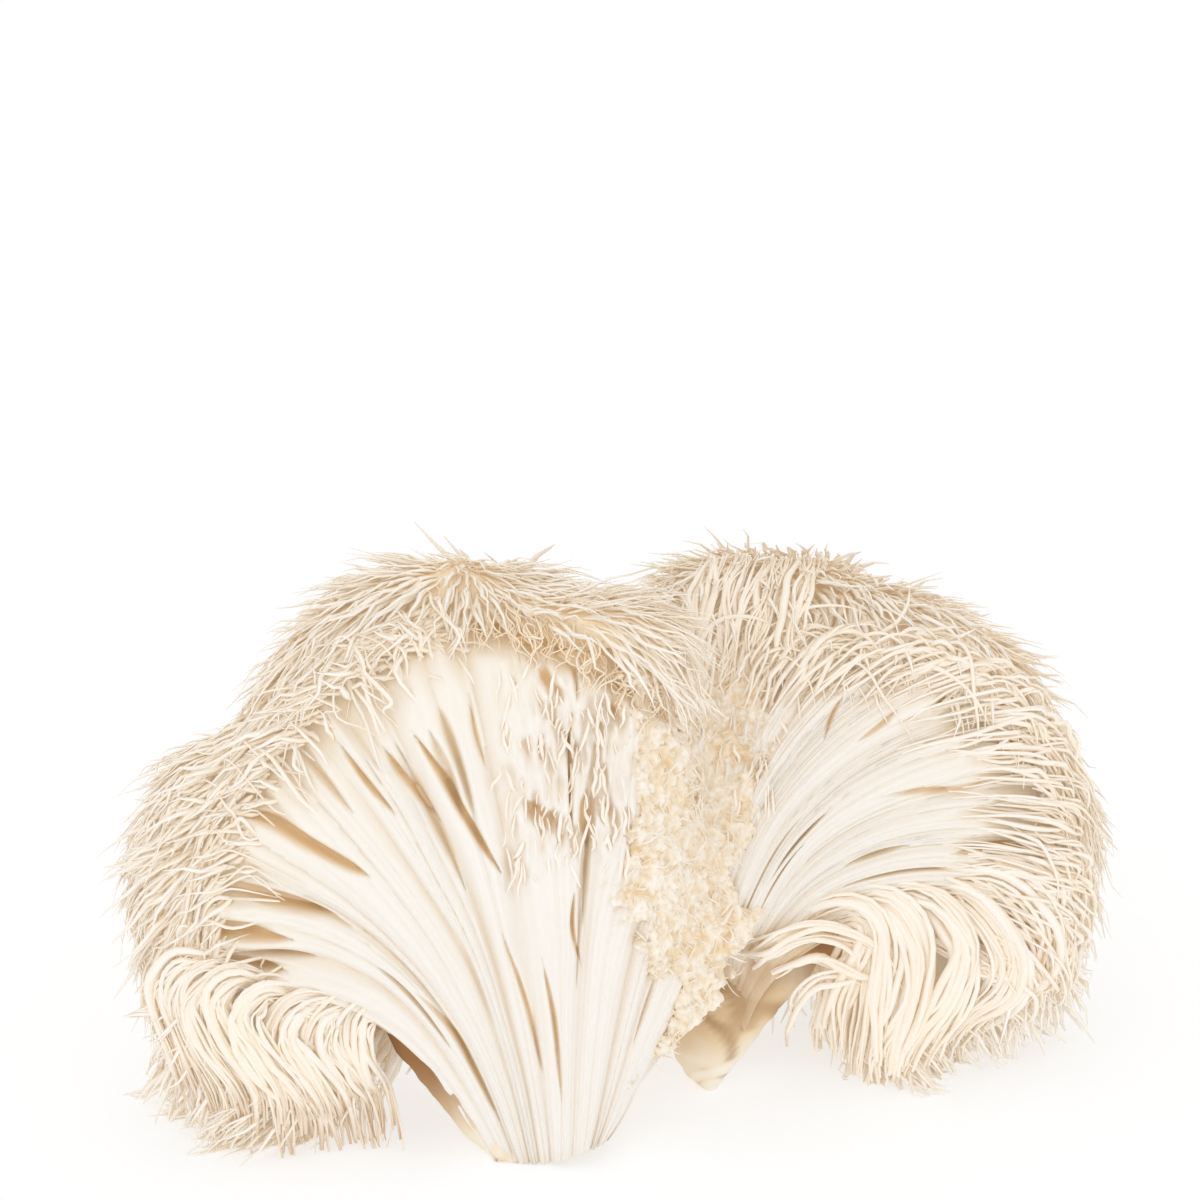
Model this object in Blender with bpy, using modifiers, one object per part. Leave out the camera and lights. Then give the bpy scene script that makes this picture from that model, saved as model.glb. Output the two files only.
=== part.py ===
"""Lion's mane mushroom, torn open down its middle so that it lies spread in two half domes.

The two halves hang together on a ridge of torn flesh, so the mushroom is still one solid.
Each half is a fan of flesh that rises from a tapering foot, with its torn face towards -Y,
its rounded, spiny back towards +Y, and skirts of spines that reach the floor.
The solid is the outer shape, out to the tips of the spines.

Run it with: blender --background --python part.py
Units are metres, +Z is up, and the origin is on the floor under the middle of the mushroom.
"""

import math

import bmesh
import bpy
from mathutils import Euler, Matrix, Vector

# Driving dimensions
DOME_RADIUS = 0.050  # half the width of one half dome, spines included
FACE_TILT = math.radians(8)  # each torn face leans back from upright by this
LEFT_YAW = math.radians(5)  # the halves turn towards each other like an open book
RIGHT_YAW = math.radians(-8)
LEFT_FOOT = Vector((-0.0171, -0.0507, 0))  # the tip of the left foot, on the floor
RIGHT_FOOT = Vector((0.0149, -0.0187, 0))  # the tip of the right foot, further back

# How the masses are joined and cut
VOXEL = 0.0045  # edge of the skin's facets
SMOOTH_STEPS = 4
FLOOR_SLAB = 0.02  # thickness of the cutter under the floor
MASS_SEGMENTS = 32
MASS_RINGS = 20

FLESH_COLOUR = (0.86, 0.79, 0.68, 1)

# Each mass is (name, centre, half sizes) in DOME_RADIUS units, in its half's own axes:
# x across the face, y into the depth behind it, and z up the face, from the tip of the foot.
# Half sizes are (across, to the front, to the back, up).
LEFT_MASSES = (
    ("fan", (-0.20, 0.36, 1.36), (0.84, 0.34, 0.80, 0.87)),
    ("waist", (-0.24, 0.38, 0.84), (0.72, 0.30, 0.60, 0.44)),
    ("left_skirt", (-0.88, 0.56, 0.54), (0.50, 0.46, 0.52, 0.56)),
    ("left_shoulder", (-0.98, 0.46, 0.96), (0.46, 0.36, 0.54, 0.66)),
    ("crown_flap", (0.24, 0.16, 1.90), (0.42, 0.26, 0.40, 0.24)),
    ("torn_edge", (0.34, 0.46, 1.02), (0.29, 0.42, 0.60, 0.70)),
)
RIGHT_MASSES = (
    ("fan", (0.42, 0.36, 1.18), (0.90, 0.32, 0.76, 0.78)),
    ("waist", (0.36, 0.38, 0.80), (0.66, 0.30, 0.56, 0.44)),
    ("front_skirt", (0.68, 0.42, 0.34), (0.32, 0.36, 0.62, 0.44)),
    ("right_shoulder", (1.06, 0.44, 0.94), (0.40, 0.34, 0.58, 0.50)),
    ("right_skirt", (1.08, 0.46, 0.64), (0.37, 0.36, 0.52, 0.40)),
    ("back_skirt", (0.70, 0.98, 0.56), (0.58, 0.42, 0.38, 0.62)),
    ("crown", (0.14, 0.40, 1.70), (0.60, 0.30, 0.52, 0.33)),
)

# Each foot is (centre of its tip, tip radius, top radius, height, depth share, lean across and back)
LEFT_FOOT_SHAPE = ((0.12, 0.15, 0.0), 0.22, 0.66, 0.80, 0.52, (-0.22, 0.27))
RIGHT_FOOT_SHAPE = ((0.0, 0.12, 0.0), 0.11, 0.60, 0.78, 0.52, (0.10, 0.32))

# The ridge of torn flesh that still joins the halves, from the left half's axes
RIDGE_MASSES = (
    ("ridge", (0.66, 0.62, 0.66), (0.32, 0.34, 0.44, 0.52)),
    ("ridge_foot", (0.44, 0.48, 0.50), (0.34, 0.26, 0.44, 0.30)),
)


def add_mass(mesh, centre, half_sizes, place):
    """Adds an egg of flesh whose front and back bulge by different amounts."""
    across, front, back, up = half_sizes
    made = bmesh.ops.create_uvsphere(
        mesh, u_segments=MASS_SEGMENTS, v_segments=MASS_RINGS, radius=1
    )
    for vertex in made["verts"]:
        x, y, z = vertex.co
        depth = y * (front if y < 0 else back)
        local = Vector((x * across, depth, z * up)) + Vector(centre)
        vertex.co = place @ (local * DOME_RADIUS)


def add_foot(mesh, shape, place):
    """Adds the tapering foot, a flattened cone that leans over as it rises into the fan."""
    tip, tip_radius, top_radius, height, depth_share, (across, back) = shape
    made = bmesh.ops.create_cone(
        mesh,
        cap_ends=True,
        segments=MASS_SEGMENTS,
        radius1=tip_radius,
        radius2=top_radius,
        depth=height,
    )
    for vertex in made["verts"]:
        x, y, z = vertex.co
        rise = z + height / 2
        local = Vector((x + across * rise, y * depth_share + back * rise, rise)) + Vector(tip)
        vertex.co = place @ (local * DOME_RADIUS)


def half_axes(foot, yaw):
    """The axes of one half: its face leans back and turns about the tip of its foot."""
    turn = Euler((-FACE_TILT, 0, yaw), "XYZ").to_matrix().to_4x4()
    return Matrix.Translation(foot) @ turn


def flesh_masses():
    """One mesh of overlapping closed masses, which the remesh then grows together."""
    left = half_axes(LEFT_FOOT, LEFT_YAW)
    right = half_axes(RIGHT_FOOT, RIGHT_YAW)
    mesh = bmesh.new()
    for _, centre, half_sizes in LEFT_MASSES + RIDGE_MASSES:
        add_mass(mesh, centre, half_sizes, left)
    for _, centre, half_sizes in RIGHT_MASSES:
        add_mass(mesh, centre, half_sizes, right)
    add_foot(mesh, LEFT_FOOT_SHAPE, left)
    add_foot(mesh, RIGHT_FOOT_SHAPE, right)
    data = bpy.data.meshes.new("mushroom")
    mesh.to_mesh(data)
    mesh.free()
    return data


def flesh_material():
    material = bpy.data.materials.new("pale_spines")
    material.use_nodes = True
    shader = material.node_tree.nodes["Principled BSDF"]
    shader.inputs["Base Color"].default_value = FLESH_COLOUR
    shader.inputs["Roughness"].default_value = 0.75
    return material


def floor_cutter(collection):
    """A slab under the floor, which trims the feet and skirts flat where they rest."""
    bpy.ops.mesh.primitive_cube_add(size=1)
    slab = bpy.context.object
    slab.name = "floor_cutter"
    slab.data.transform(Matrix.Diagonal((0.5, 0.5, FLOOR_SLAB, 1)))
    slab.location = (0, 0, -FLOOR_SLAB / 2)
    slab.hide_render = True
    slab.display_type = "WIRE"
    for used in list(slab.users_collection):
        used.objects.unlink(slab)
    collection.objects.link(slab)
    return slab


def grow_together(obj, slab):
    """Joins the masses in one skin, softens their creases and trims the result at the floor."""
    remesh = obj.modifiers.new("one_skin", "REMESH")
    remesh.mode = "VOXEL"
    remesh.voxel_size = VOXEL
    smooth = obj.modifiers.new("soften_creases", "SMOOTH")
    smooth.factor = 0.5
    smooth.iterations = SMOOTH_STEPS
    trim = obj.modifiers.new("flat_underside", "BOOLEAN")
    trim.operation = "DIFFERENCE"
    trim.solver = "EXACT"
    trim.object = slab


def main():
    for obj in list(bpy.data.objects):
        bpy.data.objects.remove(obj)
    parts = bpy.data.collections.new("lions_mane_mushroom")
    cutters = bpy.data.collections.new("cutters")
    for collection in (parts, cutters):
        bpy.context.scene.collection.children.link(collection)
    slab = floor_cutter(cutters)
    mushroom = bpy.data.objects.new("mushroom", flesh_masses())
    mushroom.data.materials.append(flesh_material())
    mushroom.data.shade_smooth()
    parts.objects.link(mushroom)
    grow_together(mushroom, slab)


main()
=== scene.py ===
# Lion's mane mushroom, torn open like a book: flesh, torn faces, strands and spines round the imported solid.
import math

import bmesh
import bpy
import numpy as np
from mathutils import Euler, Matrix, Vector
from mathutils.bvhtree import BVHTree


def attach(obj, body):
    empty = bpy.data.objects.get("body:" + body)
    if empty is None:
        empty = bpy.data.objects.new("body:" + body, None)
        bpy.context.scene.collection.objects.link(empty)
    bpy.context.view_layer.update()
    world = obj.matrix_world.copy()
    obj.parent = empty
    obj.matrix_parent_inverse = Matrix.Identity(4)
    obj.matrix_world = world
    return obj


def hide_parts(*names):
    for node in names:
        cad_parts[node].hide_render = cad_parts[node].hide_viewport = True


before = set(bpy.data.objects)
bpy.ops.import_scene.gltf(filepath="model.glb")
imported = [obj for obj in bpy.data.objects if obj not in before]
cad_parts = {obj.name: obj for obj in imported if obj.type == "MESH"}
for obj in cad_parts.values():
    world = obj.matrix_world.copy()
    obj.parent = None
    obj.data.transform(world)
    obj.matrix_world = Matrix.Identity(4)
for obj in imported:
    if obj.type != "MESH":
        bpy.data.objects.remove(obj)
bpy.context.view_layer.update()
mm = 0.001


def ease(start, end, value):
    share = np.clip((value - start) / (end - start), 0, 1)
    return share * share * (3 - 2 * share)


def noiseField(seed, axes):  # smooth noise from -1 to 1 on a lattice that repeats every 64 cells
    table = np.random.RandomState(seed).uniform(-1, 1, (64,) * axes)

    def sample(*places):
        places = np.broadcast_arrays(*places)
        floors = [np.floor(p).astype(int) for p in places]
        shares = [p - f for p, f in zip(places, floors)]
        shares = [s * s * (3 - 2 * s) for s in shares]
        total = 0
        for corner in range(2**axes):
            steps = [(corner >> axis) & 1 for axis in range(axes)]
            weight = 1
            for step, share in zip(steps, shares):
                weight = weight * (share if step else 1 - share)
            index = tuple((floor + step) % 64 for floor, step in zip(floors, steps))
            total = total + table[index] * weight
        return total

    return sample


# the two halves: x runs across the torn face, y into it and z up it, in mm from the tip of the foot
halves = {
    "left": {
        "foot": (-17.1, -50.7),
        "tilt": 8,
        "yaw": 5,
        "besideOther": (-90, 0),
        # guide fibres from one edge of the fan to the other: where each leaves the foot,
        # its angle there and at the rim in degrees, its reach and how late it bends
        "fibres": [
            (-6, -34, -57, 55, 3.0),
            (-4, -27, -57, 66, 2.6),
            (-2, -20, -50, 76, 2.2),
            (-1, -14, -37, 86, 1.3),
            (1, -9, -22, 100, 1.1),
            (4, -4, -9, 104, 1.0),
            (7, 1, 2, 102, 1.0),
            (9, 5, 8, 96, 1.0),
            (11, 12, 13, 84, 1.0),
            (13, 28, 20, 58, 1.0),
            (15, 48, 34, 40, 1.0),
        ],
    },
    "right": {
        "foot": (14.9, -18.7),
        "tilt": 8,
        "yaw": -8,
        "besideOther": (16, -7),  # left of this x, what lies in front of this depth belongs to the other half
        "fibres": [
            (-3, -4, -4, 84, 1.0),
            (-2, -2, 4, 84, 1.5),
            (-1, -1, 12, 88, 2.0),
            (0, 0, 22, 94, 2.1),
            (1, 2, 33, 97, 2.1),
            (2, 5, 45, 90, 2.0),
            (2, 7, 55, 81, 1.9),
            (3, 9, 63, 71, 1.9),
            (3, 11, 66, 60, 2.0),
            (4, 14, 64, 51, 2.4),
        ],
    },
}
for half in halves.values():
    footX, footY = half["foot"]
    turn = Euler((math.radians(-half["tilt"]), 0, math.radians(half["yaw"])), "XYZ")
    half["axes"] = Matrix.Translation((footX * mm, footY * mm, 0)) @ turn.to_matrix().to_4x4()


def toWorld(half, points):
    axes = np.array(half["axes"])
    return (np.asarray(points) * mm) @ axes[:3, :3].T + axes[:3, 3]


def toLocal(half, points):
    axes = np.array(half["axes"].inverted())
    return (np.asarray(points) @ axes[:3, :3].T + axes[:3, 3]) / mm


def meshArrays(mesh):
    points = np.zeros(len(mesh.vertices) * 3)
    mesh.vertices.foreach_get("co", points)
    normals = np.zeros(len(mesh.vertices) * 3)
    mesh.vertices.foreach_get("normal", normals)
    return points.reshape(-1, 3), normals.reshape(-1, 3)


def linked(name, mesh):
    obj = bpy.data.objects.new(name, mesh)
    bpy.context.scene.collection.objects.link(obj)
    return obj


def applied(obj):  # turns the object with its modifiers into a plain mesh
    evaluated = obj.evaluated_get(bpy.context.evaluated_depsgraph_get())
    mesh = bpy.data.meshes.new_from_object(evaluated)
    obj.modifiers.clear()
    obj.data = mesh
    return obj


# a smooth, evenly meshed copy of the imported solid, which every piece is fitted to
hullShape = {"voxel": 1.6, "smoothing": 12}


def makeHull():
    source = bmesh.new()
    source.from_mesh(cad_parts["mushroom"].data)
    bmesh.ops.remove_doubles(source, verts=source.verts, dist=0.01 * mm)
    mesh = bpy.data.meshes.new("hull")
    source.to_mesh(mesh)
    source.free()
    hull = linked("hull", mesh)
    remesh = hull.modifiers.new("even", "REMESH")
    remesh.mode = "VOXEL"
    remesh.voxel_size = hullShape["voxel"] * mm
    smooth = hull.modifiers.new("smooth", "SMOOTH")
    smooth.factor = 0.5
    smooth.iterations = hullShape["smoothing"]
    return applied(hull)


def treeIn(half, mesh):
    points, _ = meshArrays(mesh)
    faces = [tuple(face.vertices) for face in mesh.polygons]
    return BVHTree.FromPolygons([tuple(p) for p in toLocal(half, points)], faces)


sight = {"start": -60.0, "deepest": 32, "step": 0.05}


def sightStart(half, x):  # how deep a line of sight into this half starts
    limit, depth = half["besideOther"]
    return depth if x < limit else sight["start"]


def frontOf(half, x, z):  # how deep the torn face is there: the last surface that looks forward
    found, start = np.nan, sightStart(half, x)
    for _ in range(6):
        hit, normal, _, _ = half["tree"].ray_cast((x, start, z), (0, 1, 0))
        if hit is None or hit.y > sight["deepest"]:
            break
        if normal.y < 0:
            found = hit.y
        start = hit.y + sight["step"]
    return found


def outerAt(half, x, z):  # how deep the first surface is there, or the nearest one past the outline
    hit, normal, _, _ = half["tree"].ray_cast((x, sightStart(half, x), z), (0, 1, 0))
    if hit is not None and hit.y < sight["deepest"] and normal.y < 0:
        return hit.y
    return half["tree"].find_nearest((x, 6, z))[0].y


def smoothLine(points, count):  # a smooth curve through the points
    points = np.asarray(points, float)
    padded = np.vstack([2 * points[0] - points[1], points, 2 * points[-1] - points[-2]])
    place = np.linspace(0, len(points) - 1, count)
    index = np.minimum(place.astype(int), len(points) - 2)
    share = (place - index)[:, None]
    before, start, end, after = (padded[index + step] for step in range(4))
    bend = (2 * before - 5 * start + 4 * end - after) * share**2
    late = (3 * start - before - 3 * end + after) * share**3
    return 0.5 * (2 * start + (end - before) * share + bend + late)


def blurred(values, width, axis=0):
    kernel = np.hanning(2 * width + 3)[1:-1]
    kernel /= kernel.sum()
    padded = np.pad(values, [(width, width) if a == axis else (0, 0) for a in range(values.ndim)], "edge")
    return np.apply_along_axis(lambda line: np.convolve(line, kernel, "valid"), axis, padded)


footLift = 0.32  # how steeply the torn underside of a foot rises to the right


def prepareFan(half):  # evens out the guide fibres, so that equal shares across are equal lengths of rim
    guides = np.array(half["fibres"], float)
    fine = np.linspace(0, 1, 401)
    columns = np.array([np.interp(fine, np.linspace(0, 1, len(guides)), column) for column in guides.T])
    columns = blurred(columns, 24, axis=1)
    half["guides"] = columns
    half["spread"] = fine
    x, z = fibrePlan(half, fine, 0.75)
    steps = np.hypot(np.diff(x), np.diff(z)) + 0.1
    half["spread"] = np.interp(fine, np.concatenate([[0], np.cumsum(steps)]) / steps.sum(), fine)


def fibrePlan(half, across, along):  # x and z of a fibre's point: across the fan, and along from foot to rim
    fine = np.linspace(0, 1, 401)
    across = np.interp(across, fine, half["spread"])
    footX, startAngle, endAngle, reach, bend = (np.interp(across, fine, column) for column in half["guides"])
    angle = np.radians(startAngle + (endAngle - startAngle) * along**bend)
    distance = reach * along
    return footX + distance * np.sin(angle), distance * np.cos(angle) + footLift * np.maximum(footX, 0)


# camera, light and floor
viewing = {"lens": 100, "distance": 600, "elevation": 19, "aim": (-4.65, -10.7, 95.5)}
lighting = {
    "worldColour": (1.0, 0.96, 0.90, 1), "worldStrength": 0.88, "backdrop": 1.0,
    "keyColour": (0.97, 0.98, 1.0), "keyEnergy": 1.8, "fillEnergy": 0.6,
    "floorGlow": 0.56, "floorColour": (0.47, 0.49, 0.52, 1),
}


def lookFrom(obj, place, target):
    obj.location = place
    obj.rotation_mode = "QUATERNION"
    obj.rotation_quaternion = (Vector(target) - Vector(place)).to_track_quat("-Z", "Y")


def addCamera():
    camera = bpy.data.objects.new("camera", bpy.data.cameras.new("camera"))
    bpy.context.scene.collection.objects.link(camera)
    camera.data.lens = viewing["lens"]
    rise = math.radians(viewing["elevation"])
    aim = Vector(viewing["aim"]) * mm
    back = Vector((0, -math.cos(rise), math.sin(rise))) * viewing["distance"] * mm
    lookFrom(camera, aim + back, aim)
    bpy.context.scene.camera = camera


def addSoftbox(name, place, size, energy):
    lamp = bpy.data.lights.new(name, "AREA")
    lamp.size = size
    lamp.energy = energy
    lamp.color = lighting["keyColour"]
    softbox = bpy.data.objects.new(name, lamp)
    bpy.context.scene.collection.objects.link(softbox)
    lookFrom(softbox, Vector(place), (0, 0, 0.05))


def addStudio():
    scene = bpy.context.scene
    scene.view_settings.view_transform = "Standard"
    world = bpy.data.worlds.new("studio")
    world.use_nodes = True
    tree = world.node_tree
    background = tree.nodes["Background"]
    background.inputs["Color"].default_value = lighting["worldColour"]
    background.inputs["Strength"].default_value = lighting["worldStrength"]
    backdrop = addNode(tree, "ShaderNodeBackground", {
        "Color": (1, 1, 1, 1), "Strength": lighting["backdrop"]})
    seen = addNode(tree, "ShaderNodeLightPath").outputs["Is Camera Ray"]
    both = addNode(tree, "ShaderNodeMixShader", {0: seen, 1: background.outputs[0], 2: backdrop.outputs[0]})
    tree.links.new(both.outputs[0], tree.nodes["World Output"].inputs["Surface"])
    scene.world = world
    addSoftbox("keyLight", (-0.3, -1.0, 0.75), 0.9, lighting["keyEnergy"])
    addSoftbox("fillLight", (0.7, -0.9, 0.35), 0.8, lighting["fillEnergy"])
    bpy.ops.mesh.primitive_plane_add(size=6)
    floor = bpy.context.object
    floor.name = "floor"
    paint = bpy.data.materials.new("floorPaint")
    paint.use_nodes = True
    shader = paint.node_tree.nodes["Principled BSDF"]
    shader.inputs["Base Color"].default_value = lighting["floorColour"]
    shader.inputs["Roughness"].default_value = 0.9
    shader.inputs["Emission Color"].default_value = (1, 1, 1, 1)
    shader.inputs["Emission Strength"].default_value = lighting["floorGlow"]
    floor.data.materials.append(paint)


# materials: every piece carries "tone" (cream 0 to white 1), "along" (root 0 to tip 1), a tan share of
# painted shade in grooves, hollows and at roots, with some skin stain, and a brown share of painted shadow
# and of stains
fleshColours = {
    "white": (0.91, 0.882, 0.85, 1),
    "cream": (0.91, 0.84, 0.725, 1),
    "tan": (0.82, 0.64, 0.41, 1),
    "brown": (0.46, 0.22, 0.065, 1),
}


class Wire:  # an output in a node tree, which can be added, multiplied and so on like a number
    def __init__(self, tree, socket):
        self.tree, self.socket = tree, socket
        self.isVector = socket.type in ("VECTOR", "RGBA")

    def joined(self, operation, other, swapped=False):
        pair = (other, self) if swapped else (self, other)
        if not self.isVector and not getattr(other, "isVector", isinstance(other, tuple)):
            return calc(self.tree, operation, *pair)
        if operation != "MULTIPLY":
            return calcVector(self.tree, operation, *pair)
        vector, factor = pair if self.isVector else (other, self)
        inputs = {0: vector, "Scale": factor}
        return made(self.tree, "ShaderNodeVectorMath", "Vector", inputs, operation="SCALE")

    def __add__(self, other):
        return self.joined("ADD", other)

    def __sub__(self, other):
        return self.joined("SUBTRACT", other)

    def __rsub__(self, other):
        return self.joined("SUBTRACT", other, swapped=True)

    def __mul__(self, other):
        return self.joined("MULTIPLY", other)

    def __truediv__(self, other):
        return self.joined("DIVIDE", other)

    def __pow__(self, other):
        return self.joined("POWER", other)


def feed(socket, value):  # a socket takes another node's output or a fixed value
    value = getattr(value, "socket", value)
    if isinstance(value, bpy.types.NodeSocket):
        socket.id_data.links.new(value, socket)
    else:
        socket.default_value = value


def addNode(tree, kind, inputs=None, **settings):
    node = tree.nodes.new(kind)
    for name, value in settings.items():
        setattr(node, name, value)
    for name, value in (inputs or {}).items():
        feed(node.inputs[name], value)
    return node


def made(tree, kind, output, inputs=None, **settings):  # one output of a new node
    return Wire(tree, addNode(tree, kind, inputs, **settings).outputs[output])


def calc(tree, operation, *values, clamp=False):
    return made(tree, "ShaderNodeMath", 0, dict(enumerate(values)), operation=operation, use_clamp=clamp)


def calcVector(tree, operation, *values):
    output = "Value" if operation in ("LENGTH", "DOT_PRODUCT") else "Vector"
    return made(tree, "ShaderNodeVectorMath", output, dict(enumerate(values)), operation=operation)


def colourMix(tree, share, first, second):
    return made(tree, "ShaderNodeMix", 2, {0: share, 6: first, 7: second}, data_type="RGBA")


def noiseIn(tree, output, place, scale, detail, **more):
    inputs = {"Vector": place, "Scale": scale, "Detail": detail, **more}
    return made(tree, "ShaderNodeTexNoise", output, inputs)


def newGroup(name, kind, inputs, outputs):  # sockets by name, each with its first value or else its kind
    group = bpy.data.node_groups.new(name, kind)
    kinds = {tuple: "Color", float: "Float", int: "Int"}
    for direction, sockets in (("INPUT", inputs), ("OUTPUT", outputs)):
        for label, value in sockets.items():
            socketKind = "NodeSocket" + kinds.get(type(value), value)
            socket = group.interface.new_socket(label, in_out=direction, socket_type=socketKind)
            if type(value) in kinds:
                socket.default_value = value
    given = {socket.name: Wire(group, socket) for socket in group.nodes.new("NodeGroupInput").outputs[:-1]}
    return group, given, group.nodes.new("NodeGroupOutput").inputs[0]


def makeFleshColour():
    group, given, result = newGroup("fleshColour", "ShaderNodeTree", {
        "White": fleshColours["white"], "Cream": fleshColours["cream"], "Tan": fleshColours["tan"],
        "Brown": fleshColours["brown"], "Mottle": 0.3, "Mottle Size": 150.0, "Hollow Depth": 5.0 * mm,
        "Cavity Shade": 0.6}, {"Color": "Color"})
    tone, deep, brown = (
        made(group, "ShaderNodeAttribute", "Fac", attribute_name=name) for name in ("tone", "deep", "burnt"))
    place = made(group, "ShaderNodeTexCoord", "Object")
    mottle = (noiseIn(group, "Fac", place, given["Mottle Size"], 3.0) - 0.5) * given["Mottle"]
    pale = colourMix(group, calc(group, "ADD", tone, mottle, clamp=True), given["Cream"], given["White"])
    # painted shade: an ambient-occlusion term that turns cavities and the gaps between strands tan
    openness = made(group, "ShaderNodeAmbientOcclusion", "AO", {"Distance": given["Hollow Depth"]}, samples=4)
    hollow = (1.0 - openness) ** 1.3 * given["Cavity Shade"]
    # tan mixed in for painted shade: the piece's own tan share plus the occlusion term, with some skin stain
    tinted = colourMix(group, calc(group, "ADD", deep, hollow, clamp=True), pale, given["Tan"])
    # brown mixed in for painted shadow and for brown stains
    feed(result, colourMix(group, brown, tinted, given["Brown"]))


def makeFibreBump():  # fine fibrils along the flesh, and pits
    group, given, result = newGroup("fibreBump", "ShaderNodeTree", {
        "Size": 900.0, "Depth": 0.3, "Streaks": 0.0}, {"Normal": "Vector"})
    place = made(group, "ShaderNodeTexCoord", "Object")
    grain = noiseIn(group, "Fac", place, given["Size"], 3.0, Roughness=0.6)
    weave = made(group, "ShaderNodeAttribute", "Vector", attribute_name="weave")
    streak = noiseIn(group, "Fac", weave, 1.0, 4.0, Roughness=0.65, Distortion=0.4)
    feed(result, made(group, "ShaderNodeBump", "Normal", {
        "Height": grain * 0.5 + streak * given["Streaks"], "Strength": given["Depth"], "Distance": 0.5 * mm}))


# glow is a painted glow of emission; hollow sets how much painted cavity shade the occlusion term adds
def fleshMaterial(name, subsurface=0.0, glow=0.1, mottle=0.3, grain=0.3, streaks=0.0, hollow=0.5, **colours):
    material = bpy.data.materials.new(name)
    material.use_nodes = True
    tree = material.node_tree
    groups = bpy.data.node_groups
    colour = made(tree, "ShaderNodeGroup", "Color", {
        "Mottle": mottle, "Cavity Shade": hollow, **colours}, node_tree=groups["fleshColour"])
    normal = made(tree, "ShaderNodeGroup", "Normal", {
        "Depth": grain, "Streaks": streaks}, node_tree=groups["fibreBump"])
    finish = {
        "Base Color": colour, "Normal": normal, "Roughness": 0.62, "Specular IOR Level": 0.12,
        "Emission Color": colour, "Emission Strength": glow,  # painted glow: a faint emission in the flesh colour that lifts the shade, in place of light the pale flesh lets through
        "Subsurface Weight": subsurface, "Subsurface Radius": (1.0, 0.9, 0.75), "Subsurface Scale": 0.5 * mm,
    }
    for label, value in finish.items():
        feed(tree.nodes["Principled BSDF"].inputs[label], value)
    return material


def setValues(mesh, **values):
    for name, data in values.items():
        layer = mesh.attributes.new(name, "FLOAT", "POINT")
        layer.data.foreach_set("value", np.broadcast_to(data, len(mesh.vertices)).astype(np.float32))


def setVectors(mesh, name, vectors):
    layer = mesh.attributes.new(name, "FLOAT_VECTOR", "POINT")
    layer.data.foreach_set("vector", vectors.astype(np.float32).ravel())


def takeValues(mesh, *labels):  # reads values off a mesh and removes them
    found = []
    for label in labels:
        data = np.zeros(len(mesh.vertices), np.float32)
        mesh.attributes[label].data.foreach_get("value", data)
        mesh.attributes.remove(mesh.attributes[label])
        found.append(data)
    return found


def meshFrom(name, points, faces, edges=(), lowest=0.3):  # points in metres, kept just off the floor
    mesh = bpy.data.meshes.new(name)
    points[:, 2] = np.maximum(points[:, 2], lowest * mm)
    mesh.from_pydata(points.tolist(), edges, faces)
    return mesh


def addPiece(name, mesh, material):
    piece = linked(name, mesh)
    mesh.materials.clear()
    mesh.materials.append(material)
    mesh.shade_smooth()
    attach(piece, "root")
    print(name + ":", sum(len(face.vertices) - 2 for face in mesh.polygons), "triangles")
    return piece


# torn faces: one closely meshed sheet to each half, ridged into bundles, parts and single fibres; each is
# split into so many, and its ridges are so high at the foot and at the rim, in mm
faceShapes = {
    "left": {
        "from": 0.0, "seed": 11, "slits": 16, "slitDepth": 3.6,
        "bundles": (11, 0.7, 1.9), "parts": (2, 0.4, 1.0), "strands": (3, 0.16, 0.42),
        "uneven": {"parts": 0.65, "strands": 0.35},
    },
    "right": {
        "from": 0.23, "seed": 23, "slits": 10, "slitDepth": 3.0,
        "bundles": (8, 0.25, 0.9), "parts": (2, 0.12, 0.6), "strands": (4, 0.05, 0.3),
        "uneven": {"parts": 0.35, "strands": 0.45},
    },
}
faceGrid = {"rows": 205, "columns": 470, "depthEvery": (4, 7), "rimDrop": 4, "edgeDrop": 3.0, "thick": 4}


def unevenEdges(rng, inside, count):  # splits each span of the given edges into some uneven spans
    edges = [inside[0]]
    for low, high in zip(inside[:-1], inside[1:]):
        widths = rng.uniform(0.55, 1.45, max(2, count + rng.randint(-1, 2)))
        edges.extend(low + (high - low) * np.cumsum(widths) / widths.sum())
    return np.array(edges)


def tubes(edges, across):  # rounded tubes between the edges, and which tube each point is on
    index = np.clip(np.searchsorted(edges, across, side="right") - 1, 0, len(edges) - 2)
    share = (across - edges[index]) / (edges[index + 1] - edges[index])
    return (0.5 - 0.5 * np.cos(2 * np.pi * share)) ** 0.7, index


flapEdge = [(-12, 103), (-2, 105), (8, 102), (18, 95.5), (27, 87), (33, 79)]  # lower edge of the crown flap
hollowDepth = 11  # how far the torn face lies back under it


def flapLine(x):
    return np.interp(x, *np.array(flapEdge, float).T)


def underFlap(x, z):  # the hollow under the flap, in the left half's own measures
    window = ease(-12, -3, x) * (1 - ease(31, 36, x))
    return window * ease(-11, -3, z - flapLine(x))


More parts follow.
